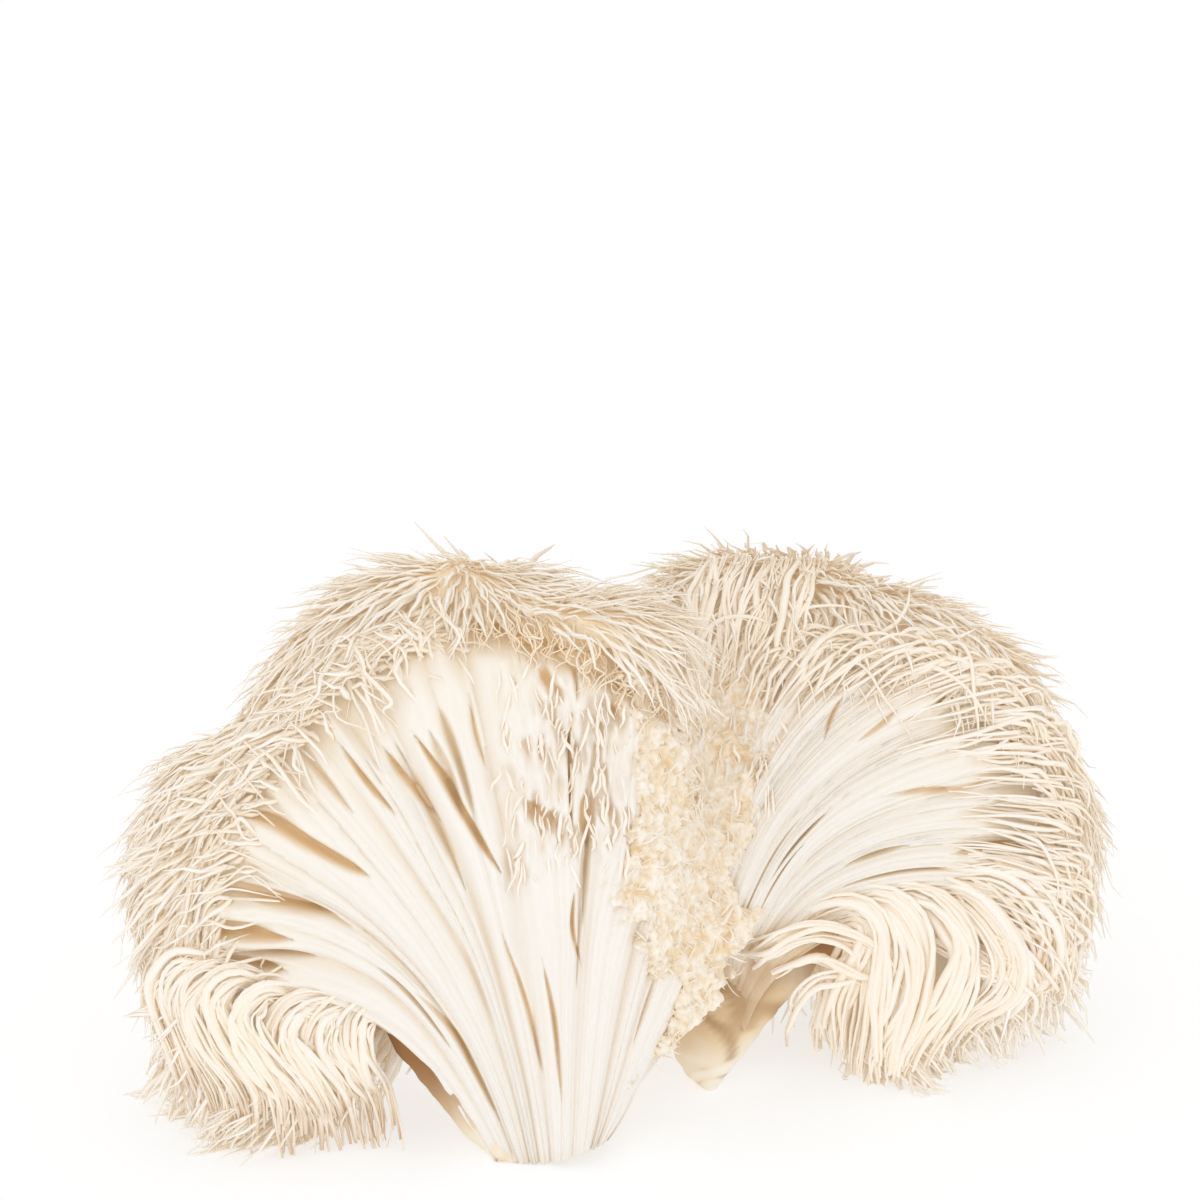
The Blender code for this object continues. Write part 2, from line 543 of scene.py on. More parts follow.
# slits that are torn deep into the faces: their middle line in x and z, half their width and their depth
tornSlits = {
    "left": [
        ([(-51, 67), (-43, 65), (-34, 60), (-27, 56)], 1.25, 5.0),
        ([(-59, 54), (-50, 53), (-40, 50), (-33, 48)], 1.1, 4.5),
        ([(-60, 46), (-50, 45.5), (-41, 44)], 1.3, 5.0),
        ([(-58, 40), (-49, 39.5), (-42, 38)], 0.9, 4.0),
        ([(-19, 82), (-14, 74), (-8, 63), (-4, 56)], 0.75, 4.0),
        ([(-24, 79), (-20, 73), (-14, 65)], 0.7, 3.5),
        ([(-32, 80), (-27, 73), (-22, 67)], 0.6, 3.0),
        ([(-9, 88), (-8, 81), (-6, 74)], 0.5, 2.2),
        ([(11.5, 71), (11, 65), (11.5, 59)], 1.1, 4.0),
        ([(9, 52), (8.5, 45), (10, 38)], 0.45, 2.2),
        ([(-20, 35), (-13, 27), (-9, 19), (-5, 10)], 0.6, 2.2),
        ([(3, 40), (5, 28), (6, 14)], 0.5, 2.0),
        ([(-4, 45), (0, 32), (3, 18)], 0.5, 2.0),
    ],
    "right": [
        ([(23, 77), (21, 73), (20, 69)], 0.5, 1.8),
        ([(33, 75), (30, 72), (26, 69)], 0.6, 1.8),
        ([(44, 79), (42, 77), (39, 75)], 1.1, 2.6),
        ([(31, 59), (38, 60), (45, 60), (50, 62)], 0.8, 2.0),
        ([(44, 48), (52, 49), (60, 49)], 1.1, 3.0),
        ([(43, 43), (50, 43), (56, 43)], 0.6, 2.2),
        ([(48, 66), (55, 69), (62, 70)], 0.9, 3.0),
        ([(52, 74), (58, 77), (62, 77)], 0.9, 3.0),
        ([(50, 35), (56, 34), (61, 30)], 0.8, 2.5),
        ([(33, 29), (36, 27), (38, 25)], 1.3, 3.0),
        ([(43, 26), (46, 25), (48, 23)], 1.8, 3.5),
    ],
}


def slitDepths(name, x, z):
    depth = np.zeros_like(x)
    for path, width, reach in tornSlits[name]:
        line = smoothLine(path, 90)
        nearest = np.full(x.shape, 1e9)
        share = np.zeros_like(x)
        for step, (lineX, lineZ) in enumerate(line):
            distance = np.hypot(x - lineX, z - lineZ)
            share = np.where(distance < nearest, step / (len(line) - 1), share)
            nearest = np.minimum(nearest, distance)
        lens = np.sin(np.pi * np.clip(share, 0.02, 0.98)) ** 0.6
        depth = np.maximum(depth, reach * lens * np.exp(-((nearest / (width * lens)) ** 2) * 1.4))
    return depth


def faceHeights(shape, across, along):
    rng = np.random.RandomState(shape["seed"])
    sway = noiseField(shape["seed"], 2)
    warped = across + 0.012 * sway(across * 9, along * 3) + 0.004 * sway(across * 40 + 7, along * 7)
    bundles = unevenEdges(rng, np.array([-0.1, 1.1]), shape["bundles"][0])
    parts = unevenEdges(rng, bundles, shape["parts"][0])
    strands = unevenEdges(rng, parts, shape["strands"][0])
    height = np.zeros_like(across)
    splits = {"bundles": (bundles, 0.0, 0.5), "parts": (parts, 0.1, 0.7), "strands": (strands, 0.25, 0.9)}
    for name, (edges, start, end) in splits.items():
        _, low, high = shape[name]
        tube, index = tubes(edges, warped)
        height += (tube - 0.7) * (low + (high - low) * ease(start, end, along))
        if name != "bundles":
            lift = shape["uneven"][name]
            height += rng.uniform(-lift, lift, len(edges))[index] * ease(0.3, 1.0, along)
    for _ in range(shape["slits"]):
        middle, start, length = rng.uniform(0.02, 0.98), rng.uniform(0.25, 0.85), rng.uniform(0.12, 0.3)
        width = rng.uniform(0.0025, 0.006)
        reach = np.clip((along - start) / length, 0, 1)
        lens = np.sin(np.pi * reach) ** 0.7
        gap = np.exp(-(((warped - middle) / (width * lens + 1e-4)) ** 2))
        height -= shape["slitDepth"] * gap * lens * ease(0.2, 0.7, start + length / 2)
    return height


def sheetFaces(rows, columns):
    index = np.arange(rows * columns).reshape(rows, columns)
    corners = (index[:-1, :-1], index[:-1, 1:], index[1:, 1:], index[1:, :-1])
    return np.stack(corners, -1).reshape(-1, 4)


def closedBehind(grid, faces, depth):  # closes a sheet with a rim that runs back to one point behind
    rows, columns = grid.shape[:2]
    index = np.arange(rows * columns).reshape(rows, columns)
    rim = np.concatenate([index[0, :], index[1:, -1], index[-1, -2::-1], index[-2:0:-1, 0]])
    points = grid.reshape(-1, 3)
    middle = points.mean(0) + (0, 24, 0)
    behind = points[rim] + (0, depth, 0)
    behind = behind + 0.15 * (middle - behind) * (1, 0, 1)
    inner = len(points) + np.arange(len(rim))
    following = np.roll(np.arange(len(rim)), -1)
    wall = np.stack([rim, rim[following], inner[following], inner], -1)[:, ::-1]
    cap = np.stack([inner, inner[following], np.full(len(rim), len(points) + len(rim))], -1)[:, ::-1]
    faces = [*map(tuple, faces), *map(tuple, wall), *map(tuple, cap)]
    return np.concatenate([points, behind, [middle]]), faces


def swirl(x, z):  # curled stains of the foot skin
    bend = 2.5 * noiseField(6, 2)(x / 9, z / 9)
    return noiseField(7, 2)(x / 3.5 + bend, z / 5 - bend)


def tornLumps(name, x, z):  # where the flesh is torn across its fibres it stands up in white flakes
    if name == "left":
        where = ease(-6, 3, x) * (1 - ease(17, 22, x)) * ease(52, 66, z)
    else:
        where = (1 - ease(7, 14, x)) * ease(58, 68, z)
    coarse = noiseField(91, 2)(x / 2.6 + 0.2 * z, z / 6)
    fine = noiseField(92, 2)(x / 1.1, z / 2.4)
    shreds = noiseField(93, 2)(x / 0.7 + 0.4 * coarse, z / 3.5)
    return where * (1.9 * coarse + 1.1 * fine + 0.6 * shreds - 1.4 * ease(0.35, 0.8, -coarse))


def makeFace(name, half, material):
    shape = faceShapes[name]
    rows, columns = faceGrid["rows"], faceGrid["columns"]
    across, along = np.meshgrid(np.linspace(0, 1, columns), np.linspace(shape["from"], 1, rows))
    x, z = fibrePlan(half, across, along)
    coarse = tuple(slice(None, None, step) for step in faceGrid["depthEvery"])
    y = np.array([[frontOf(half, *place) for place in zip(*row)] for row in zip(x[coarse], z[coarse])])
    # past the outline the sheet keeps the depth that it has beside it
    for row, known in zip(y, ~np.isnan(y)):
        if known.any():
            row[~known] = np.interp(np.flatnonzero(~known), np.flatnonzero(known), row[known])
    for row in range(len(y) - 2, -1, -1):
        y[row] = np.where(np.isnan(y[row]), y[row + 1], y[row])
    y = blurred(blurred(y, 2, 0), 2, 1)
    atRows, atColumns = (np.arange(n) / step for n, step in zip((rows, columns), faceGrid["depthEvery"]))
    y = np.array([np.interp(atColumns, np.arange(y.shape[1]), line) for line in y])
    y = np.array([np.interp(atRows, np.arange(y.shape[0]), line) for line in y.T]).T
    hollow = underFlap(x, z) if name == "left" else np.zeros_like(x)
    y = y + hollowDepth * hollow
    if name == "right":  # the flesh comes out of the skin of the foot
        onFoot = (1 - ease(24, 40, z)) * (1 - ease(16, 24, x))
        y = y + (np.minimum(footDepth(name, z), 2) - y) * onFoot
    height = faceHeights(shape, across, along)
    ragged = 0.05 * noiseField(shape["seed"] + 1, 1)(across * 60)
    ragged = ragged + 0.03 * noiseField(shape["seed"] + 2, 1)(across * 17)
    edge = ease(0, 0.02, across) * ease(0, 0.02, 1 - across)
    rim = ease(0.02, 0.16, 1 - along + ragged)
    height = height * edge * rim - faceGrid["edgeDrop"] * (1 - edge) - faceGrid["rimDrop"] * (1 - rim)
    slit = slitDepths(name, x, z)
    if shape["from"] > 0:
        height = height - 3.5 * (1 - ease(0, 0.06, along - shape["from"]))
    height = height - slit
    lumpy = tornLumps(name, x, z)
    height = height + lumpy
    skin = np.zeros_like(height)
    if name == "right":
        skin = 1 - ease(17, 31, z + 4 * noiseField(5, 2)(x / 4, z / 5) - 0.35 * np.minimum(x, 20))
        skin = skin * (1 - ease(20, 28, x))
    height = height * (1 - 0.85 * skin)
    grid = np.stack([x, y - height, z], -1)
    points, faces = closedBehind(grid, sheetFaces(rows, columns)[:, ::-1], faceGrid["thick"])
    mesh = meshFrom("tornFace", toWorld(half, points), faces)
    # painted shade in tan: in the grooves between ridges, in the slits, under the flap and between the torn
    # lumps
    local = blurred(height, 12, 1)
    deep = np.clip((local - height - 0.3) / 2.2, 0, 1) * 0.6
    deep = np.maximum(deep, np.clip(slit / 2.6, 0, 1))
    deep = np.clip(deep * 0.8 + hollow + 0.45 * ease(0.8, 2.8, -lumpy), 0, 1)
    # painted shadow in brown under the flap
    burnt = 0.5 * hollow**2
    if name == "right":
        # on the foot the skin is painted tan for its shade and gets brown swirl stains
        deep = np.clip(deep + skin * 0.75, 0, 1)
        burnt = skin * ease(-0.1, 0.9, swirl(x, z)) * 0.35
    tone = np.clip(1 - 0.9 * (1 - rim) - 0.35 * ease(0.55, 1, along), 0, 1)
    extra = len(points) - deep.size
    for label, data, behind in (("deep", deep, 1.0), ("tone", tone, 0.0), ("burnt", burnt, 0.0)):
        setValues(mesh, **{label: np.append(data, np.full(extra, behind))})
    weave = np.stack([across * 230, along * 12, np.zeros_like(across)], -1).reshape(-1, 3)
    setVectors(mesh, "weave", np.concatenate([weave, np.zeros((extra, 3))]))
    half["plain"] = y
    return addPiece("tornFace_" + name, mesh, material)


# core: the flesh under the spines, with the field that the spines are combed along
coreShape = {
    "inset": 3.4, "faceInset": 6.0, "footInset": 0.3, "flapInset": 3.0, "hollowInset": 8.0,
    "skinTop": 23, "skinFade": 8, "press": 0.12,
}
# how high the flesh starts beside the feet, as x and z across each half, and at the back as depths and
# height; and where it is drawn in behind the torn flesh, from x to x, fading out from z to z, and how deep
undersides = {
    "left": {
        "line": [
            (-34, 0), (-27, 24), (-20, 22), (-12, 17), (-4, 11), (2, 9), (9, 12), (16, 17), (22, 22),
            (29, 27), (60, 27)],
        "back": (18, 28, 21), "drawnIn": (10, 60, 28, 38, 22),
    },
    "right": {
        "line": [(-40, 26), (-8, 24), (0, 21), (8, 21), (14, 24), (19, 27), (22, 26), (27, 0)],
        "back": (14, 24, 21), "drawnIn": (-30, 14, 34, 44, 7),
    },
}


def rimShare(half, x, z):  # distance from the foot as a share of the fan's rim in that direction
    rimX, rimZ = fibrePlan(half, np.linspace(0, 1, 200), 1.0)
    centre = (5, 4)
    rimAngle = np.arctan2(rimX - centre[0], rimZ - centre[1])
    order = np.argsort(rimAngle)
    angle = np.arctan2(x - centre[0], z - centre[1])
    rim = np.interp(angle, rimAngle[order], np.hypot(rimX - centre[0], rimZ - centre[1])[order])
    outside = (angle < rimAngle.min() - 0.05) | (angle > rimAngle.max() + 0.05)
    return np.where(outside, 2.0, np.hypot(x - centre[0], z - centre[1]) / rim)


def surfaceFacts(points, normals):  # what grows where on the hull
    facts = {}
    for name, half in halves.items():
        local = toLocal(half, points)
        turned = normals @ np.array(half["axes"])[:3, :3]
        front = ease(0.05, 0.45, -turned[:, 1])
        share = rimShare(half, local[:, 0], local[:, 2])
        face = front * (1 - ease(0.94, 1.01, share))
        centre = 6 - 0.25 * local[:, 2] if name == "left" else 0.15 * local[:, 2]
        skin = 1 - ease(coreShape["skinTop"], coreShape["skinTop"] + coreShape["skinFade"], local[:, 2])
        skin = skin * (1 - ease(21, 27, np.abs(local[:, 0] - centre))) * (1 - ease(16, 24, local[:, 1]))
        facts[name] = {"local": local, "face": face, "skin": skin, "front": front, "turned": turned}
    x, y, z = facts["left"]["local"].T
    facts["isLeft"] = (points[:, 0] < 9 * mm) | ((x < 36) & (z > 60) & (y < 26))
    for key in ("face", "skin", "front"):
        facts[key] = np.where(facts["isLeft"], facts["left"][key], facts["right"][key])
    near = (y < 26) & (x > -12) & (x < 38) & facts["isLeft"]
    facts["flap"] = near * ease(-1.5, 1.5, z - flapLine(x)) * ease(-18, -10, x)
    facts["hollow"] = near * facts["left"]["front"] * underFlap(x, z) * (1 - facts["flap"])
    ragged = 4.5 * noiseField(81, 2)(z / 5.0, x / 8.0) + 2.5 * noiseField(82, 2)(z / 1.9, x / 3.0)
    tornEdge = np.interp(z, [8, 15, 24, 32, 42, 60, 75, 92], [17, 21, 26, 26, 20.5, 18, 18.5, 21]) + ragged
    lowEdge = np.interp(x, [9, 16, 20, 27, 33, 45], [3, 9, 14, 19, 22, 25])
    inCleft = facts["isLeft"] * (y < 40) * (x < 50) * ease(-1.5, 2.5, x - tornEdge) * ease(-3, 2, z - lowEdge)
    inCleft = inCleft * (1 - facts["flap"])
    inCleft = inCleft * ease(-0.45, 0.0, -facts["left"]["turned"][:, 1]) * (1 - 0.9 * underFlap(x, z + 1))
    rx, ry, rz = facts["right"]["local"].T
    lowRight = np.interp(rx, [-10, -3, 7, 12], [13, 17, 24, 28])
    torn = ease(-0.5, -0.1, -facts["right"]["turned"][:, 1]) * (1 - ease(1, 9, rx - 0.05 * rz + ragged))
    torn = torn * (ry < 45) * ease(-3, 3, rz - lowRight) * (1 - ease(80, 92, rz))
    facts["crumb"] = np.where(facts["isLeft"], inCleft, torn)
    facts["face"] = facts["face"] * (1 - facts["flap"])
    facts["back"] = ease(0.15, 0.35, normals[:, 1] - 0.8 * normals[:, 2])
    return facts


def combField(points, normals, facts):  # spines run outwards and down, and over the flap to its lower edge
    leftX = facts["left"]["local"][:, 0]
    rightX = facts["right"]["local"][:, 0]
    sideways = np.where(facts["isLeft"], -1.0 + 1.15 * ease(-9, 8, leftX), -0.5 + 1.1 * ease(-8, 42, rightX))
    sideways = sideways * (0.65 + 0.35 * ease(0.0, 0.6, np.abs(normals[:, 2]))) * 1.4
    forward = np.clip(normals[:, 1] * 2, -0.5, 0.5) - 1.1 * ease(0.2, 0.7, normals[:, 2]) * np.where(
        facts["isLeft"], 0.1 + 0.9 * ease(-11, 0, leftX), 1.0)
    pull = np.stack([sideways, forward, -1 + 0.75 * ease(0.55, 0.95, normals[:, 2])], 1)
    turn = ease(-14, 2, leftX)[:, None]
    overFlap = np.array([-0.5, -0.9, -0.5]) * (1 - turn) + np.array([1.3, -0.32, -0.8]) * turn
    pull = pull + (overFlap - pull) * facts["flap"][:, None]
    under = ease(0.1, 0.6, -normals[:, 2])[:, None]
    pull[:, :2] *= 1 - 0.7 * under
    pull -= normals * (pull * normals).sum(1)[:, None] * (1 - under)
    broad, fine = noiseField(51, 3), noiseField(52, 3)
    turned = 0.8 * broad(*(points.T / (13 * mm))) + 0.45 * fine(*(points.T / (5 * mm)))
    turned = (turned * (1 - 0.65 * facts["flap"]))[:, None]
    pull = pull * np.cos(turned) + np.cross(normals, pull) * np.sin(turned)
    return pull / (np.linalg.norm(pull, axis=1)[:, None] + 0.2)


def makeCore(hull, material):
    points, normals = meshArrays(hull.data)
    facts = surfaceFacts(points, normals)
    inset = coreShape["inset"] + (coreShape["faceInset"] - coreShape["inset"]) * facts["face"]
    inset = inset + (coreShape["footInset"] - inset) * facts["skin"] * (1 - facts["face"])
    onFoot = facts["skin"] * facts["face"] > 0.3
    inset = np.where(onFoot & facts["isLeft"], 4.5, np.where(onFoot, 1.2, inset))
    inset = inset + (coreShape["flapInset"] - inset) * facts["flap"]
    inset = inset + coreShape["hollowInset"] * facts["hollow"]
    mesh = hull.data.copy()
    moved = points - normals * inset[:, None] * mm
    for name, half in halves.items():
        x, y, z = toLocal(half, moved).T
        lineX, lineZ = np.array(undersides[name]["line"], float).T
        start, end, height = undersides[name]["back"]
        lowest = np.interp(x, lineX, lineZ)
        raised = (np.maximum(height, lowest) - lowest) * ease(start, end, y)
        lowest = np.where(lowest > 0, lowest + raised, lowest)
        mine = facts["isLeft"] if name == "left" else ~facts["isLeft"]
        below = mine & (z < lowest)
        y = y + below * ease(0, 6, lowest - z) * 0.7 * np.maximum(14 - y, 0)
        start, end, above, over, depth = undersides[name]["drawnIn"]
        drawn = (ease(start, start + 6, x) - ease(end, end + 8, x)) * (1 - ease(above, over, z))
        y = y + mine * drawn * np.maximum(depth - y, 0)
        z = np.where(below, lowest - coreShape["press"] * (lowest - z), z)
        moved = toWorld(half, np.stack([x, y, z], 1))
    mesh.vertices.foreach_set("co", moved.ravel())
    mesh.update()
    x, _, z = facts["left"]["local"].T
    # painted shadow in brown: under the left lobe beside its foot, and inside the arch of the right half
    paintedShadowBesideFoot = facts["isLeft"] * np.exp(-(((z - 24) / 8) ** 2)) * np.exp(-(((x + 22) / 9) ** 2))
    rx, _, rz = facts["right"]["local"].T
    paintedShadowInArch = (1 - facts["isLeft"]) * np.exp(-(((rx - 21) / 5) ** 2) - ((rz - 25) / 6) ** 2)
    # painted shade in tan over the core, which lies deep in the coat, and more of it up the foot skin under
    # the fan
    setValues(mesh, deep=0.38 * (1 - facts["skin"]) + (0.2 + 0.6 * ease(4, 22, z)) * facts["skin"], tone=0.1,
              burnt=np.clip(paintedShadowBesideFoot + paintedShadowInArch, 0, 1))
    setVectors(mesh, "comb", combField(points, normals, facts))
    spiny = np.clip(1 - facts["face"] * 1.6 - facts["crumb"], 0, 1)
    spiny = spiny * (1 - facts["skin"]) * (1 - facts["hollow"])
    between = ease(-40, -33, points[:, 0] / mm) * (1 - ease(33, 39, points[:, 0] / mm))
    between = between * (1 - ease(-6, 4, points[:, 1] / mm))
    spiny = spiny * (1 - between * (1 - ease(22, 30, points[:, 2] / mm)))
    spiny = spiny * (1 - facts["flap"] * (1 - ease(0.5, 2.5, z - flapLine(x))) * ease(-6, 0, x))
    setValues(mesh, spiny=spiny, long=1.0)
    core = addPiece("core", mesh, material)
    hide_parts("mushroom")
    return core, facts


# skin of the feet: oval legs behind the torn flesh, given by their left and right outlines as (z, x)
# and by how deep their front and back are, as (z, front, back)
footSkins = {
    "left": {
        "leftEdge": [
            (0.4, -4.0), (1.6, -6.8), (4.6, -10.2), (11.4, -15.8), (20.4, -22.9), (27, -26), (31, -27)],
        "rightEdge": [(0.4, 5), (4, 9), (9, 12), (14, 14), (20, 17), (26, 20), (31, 22)],
        "depths": [(0.4, 6.5, 11), (6, 6.5, 17), (14, 6.5, 22), (31, 7, 25)], "burnt": (7, 24),
    },
    "right": {
        "leftEdge": [(0.4, -0.6), (2.5, -3.2), (6, -6.0), (12, -8.5), (20, -9.5), (30, -9)],
        "rightEdge": [(0.4, 1.6), (3, 3.4), (8, 7.3), (15, 12.4), (18, 15), (20, 18), (24, 20), (30, 21)],
        "depths": [
            (0.4, 2.5, 5.5), (3, 0.5, 9), (8, -0.8, 14), (15, 0.5, 19), (20, 2.5, 23), (26, 6, 25),
            (31, 9, 26)],
        "burnt": (4, 40),
    },
}


def footDepth(name, z):  # how deep the front of the foot's skin is
    depthZ, front, _ = np.array(footSkins[name]["depths"]).T
    return np.interp(z, depthZ, front)


def makeFootSkin(name, half, material, sides=48, rows=70):
    skin = footSkins[name]
    z = np.linspace(skin["leftEdge"][0][0], skin["leftEdge"][-1][0], rows)
    outlines = [np.array(skin[label]).T for label in ("leftEdge", "rightEdge", "depths")]
    left, right, front, back = (
        blurred(np.interp(z, heights, line), 3) for heights, *lines in outlines for line in lines)
    turn = np.linspace(0, 2 * np.pi, sides, endpoint=False)
    bulge = np.sign(np.sin(turn)) * np.abs(np.sin(turn)) ** 0.7
    x = ((left + right) / 2)[:, None] - ((right - left) / 2)[:, None] * np.cos(turn)
    y = ((front + back) / 2)[:, None] - ((back - front) / 2)[:, None] * bulge
    up = np.broadcast_to(z[:, None], x.shape)
    x = x - noiseField(41, 2)(x / 3 + up, y / 3) * 0.2 - noiseField(42, 2)(x / 9 + y / 7, up / 5) * 0.4
    y = y + noiseField(43, 2)(x / 4, up / 3) * 0.5
    index = np.arange(rows * sides).reshape(rows, sides)
    beside = np.roll(index, -1, 1)
    faces = np.stack([index[:-1], beside[:-1], beside[1:], index[1:]], -1).reshape(-1, 4).tolist()
    points = np.stack([x, y, up], -1).reshape(-1, 3)
    ends = [points[index[row]].mean(0) for row in (0, -1)]
    faces += [[int(b), int(a), len(points)] for a, b in zip(index[0], beside[0])]
    faces += [[int(a), int(b), len(points) + 1] for a, b in zip(index[-1], beside[-1])]
    mesh = meshFrom("footSkin", toWorld(half, np.concatenate([points, ends])), faces)
    shell = bmesh.new()
    shell.from_mesh(mesh)
    bmesh.ops.recalc_face_normals(shell, faces=shell.faces)
    shell.to_mesh(mesh)
    shell.free()
    across = np.tile(np.cos(turn), (rows, 1))  # 1 at the left outline, 0 facing front
    stain = 0.35 * swirl(x, up)
    start, end = skin["burnt"]
    # tan: painted shade growing up the foot under the fan and on its side, plus swirl stains
    deep = np.clip(0.25 + 0.75 * ease(2, 16, up) + 0.3 * across + stain, 0, 1)
    # brown: painted shade on the side and higher up, with swirl stains
    brown = 0.35 + 0.55 * ease(0.0, 0.8, across)
    burnt = np.clip(ease(start, end, up + 5 * across + 3 * stain) * brown, 0, 1)
    if name == "right":
        pale = ease(22, 29, up + 3 * stain)
        deep = deep * (1 - 0.6 * pale)
        burnt = np.clip(burnt * 0.6 + 0.5 * ease(0.1, 0.35, stain), 0, 1) * (1 - pale)
    setValues(mesh, deep=np.append(deep.ravel(), [1, 1]), burnt=np.append(burnt.ravel(), [0, 1]), tone=0.3)
    return addPiece("footSkin_" + name, mesh, material)


# Geometry Nodes: combed spines on a surface, and tubes along strands
def readValue(tree, name, kind="FLOAT"):
    return made(tree, "GeometryNodeInputNamedAttribute", "Attribute", {"Name": name}, data_type=kind)


def keepValues(tree, geometry, **values):
    for name, value in values.items():
        kind = "FLOAT_VECTOR" if value.isVector else "FLOAT"
        geometry = made(tree, "GeometryNodeStoreNamedAttribute", "Geometry", {
            "Geometry": geometry, "Name": name, "Value": value}, data_type=kind, domain="POINT")
    return geometry


def randomValue(tree, low, high, seed):
    return made(tree, "FunctionNodeRandomValue", 1, {2: low, 3: high, 8: seed}, data_type="FLOAT")


def tubeAlong(tree, curves, sides, girth):
    ring = made(tree, "GeometryNodeCurvePrimitiveCircle", "Curve", {"Resolution": sides, "Radius": 1.0})
    return made(tree, "GeometryNodeCurveToMesh", "Mesh", {
        "Curve": curves, "Profile Curve": ring, "Scale": girth, "Fill Caps": True})


def finishTree(tree, result, geometry, material):
    solid = made(tree, "GeometryNodeRealizeInstances", "Geometry", {"Geometry": geometry})
    feed(result, made(tree, "GeometryNodeSetMaterial", "Geometry", {"Geometry": solid, "Material": material}))


def makeSpineTree():
    tree, given, result = newGroup("combedSpines", "GeometryNodeTree", {
        "Surface": "Geometry", "Spacing": 1.7 * mm, "Length": 9.0 * mm, "Thickness": 0.62 * mm, "Rise": 0.6,
        "Clump": 1.3, "Wave": 0.35, "Gather": 0.6, "Segments": 6, "Sides": 4, "Flatness": 0.6, "Seed": 1,
        "Material": "Material"}, {"Spines": "Geometry"})
    grey = (0.5, 0.5, 0.5)
    scatter = addNode(tree, "GeometryNodeDistributePointsOnFaces", {
        "Mesh": given["Surface"], "Distance Min": given["Spacing"], "Density Max": 2.0e6,
        "Density Factor": readValue(tree, "spiny"), "Seed": given["Seed"]}, distribute_method="POISSON")
    place = made(tree, "GeometryNodeInputPosition", 0)
    comb = readValue(tree, "comb", "FLOAT_VECTOR")
    clump = (noiseIn(tree, "Color", place, 95.0, 2.0) - grey) * given["Clump"]
    jitter = made(tree, "FunctionNodeRandomValue", 0, {
        0: (-0.22,) * 3, 1: (0.22,) * 3, 8: given["Seed"]}, data_type="FLOAT_VECTOR")
    tuft = made(tree, "ShaderNodeTexVoronoi", "Position", {"Vector": place, "Scale": 230.0})
    gather = (tuft - place) * (given["Gather"] / given["Length"])
    straying = 0.75 - calcVector(tree, "LENGTH", comb)
    points = keepValues(
        tree, scatter.outputs["Points"],
        root=place,
        up=Wire(tree, scatter.outputs["Normal"]),
        flow=comb + clump + jitter + gather,
        size=given["Length"] * (readValue(tree, "long") * randomValue(tree, 0.7, 1.25, given["Seed"] + 5)),
        stand=calc(tree, "MAXIMUM", straying, 0.0) * 0.9,
        lean=randomValue(tree, 0.6, 1.35, given["Seed"] + 9),
        shade=randomValue(tree, 0.0, 1.0, given["Seed"] + 13),
    )
    line = made(tree, "GeometryNodeCurvePrimitiveLine", "Curve", {"End": (0, 0, 1)})
    line = made(tree, "GeometryNodeResampleCurve", "Curve", {"Curve": line, "Count": given["Segments"]})
    spread = made(tree, "GeometryNodeInstanceOnPoints", "Instances", {"Points": points, "Instance": line})
    curves = made(tree, "GeometryNodeRealizeInstances", "Geometry", {"Geometry": spread})
    curves = keepValues(tree, curves, along=made(tree, "GeometryNodeSplineParameter", "Factor"))
    along, size, stand, lean, shade = (
        readValue(tree, name) for name in ("along", "size", "stand", "lean", "shade"))
    root, up, flow, middle = (
        readValue(tree, name, "FLOAT_VECTOR") for name in ("root", "up", "flow", "middle"))
    squared = along * along
    rise = given["Rise"] * lean * (along * 1.5 - squared) + stand * along
    run = along * 0.55 + squared * 0.45
    wander = noiseIn(tree, "Color", root * 700.0 + along * 1.6 * (1.0, 1.0, 1.0), 1.0, 0.0)
    wave = (wander - grey) * (given["Wave"] * along)
    placed = root + (up * rise + flow * run + wave) * size
    aboveFloor = calcVector(tree, "MAXIMUM", placed, (-1.0, -1.0, 0.8 * mm))
    curves = made(tree, "GeometryNodeSetPosition", "Geometry", {"Geometry": curves, "Position": aboveFloor})
    curves = keepValues(tree, curves, middle=place)
    rooted = calc(tree, "MINIMUM", 1.0, along * 2.4 + 0.3)
    taper = (1.0 - along**1.8 * 0.9) * rooted
    tube = tubeAlong(tree, curves, given["Sides"], given["Thickness"] * (taper * (shade * 0.6 + 0.7)))
    height = calcVector(tree, "DOT_PRODUCT", place - middle, up)
    pressed = up * (height * (given["Flatness"] * -1.0))
    tube = made(tree, "GeometryNodeSetPosition", "Geometry", {"Geometry": tube, "Offset": pressed})
    finishTree(tree, result, tube, given["Material"])


def grownMesh(name, mesh, group, **values):  # the plain mesh that a node tree makes of a mesh
    grower = linked("growing_" + name, mesh)
    modifier = grower.modifiers.new(group, "NODES")
    modifier.node_group = bpy.data.node_groups[group]
    sockets = {item.name: item.identifier for item in modifier.node_group.interface.items_tree
               if item.item_type == "SOCKET" and item.in_out == "INPUT"}
    for label, value in values.items():
        modifier[sockets[label]] = value
    grown = applied(grower).data
    bpy.data.objects.remove(grower)
    return grown


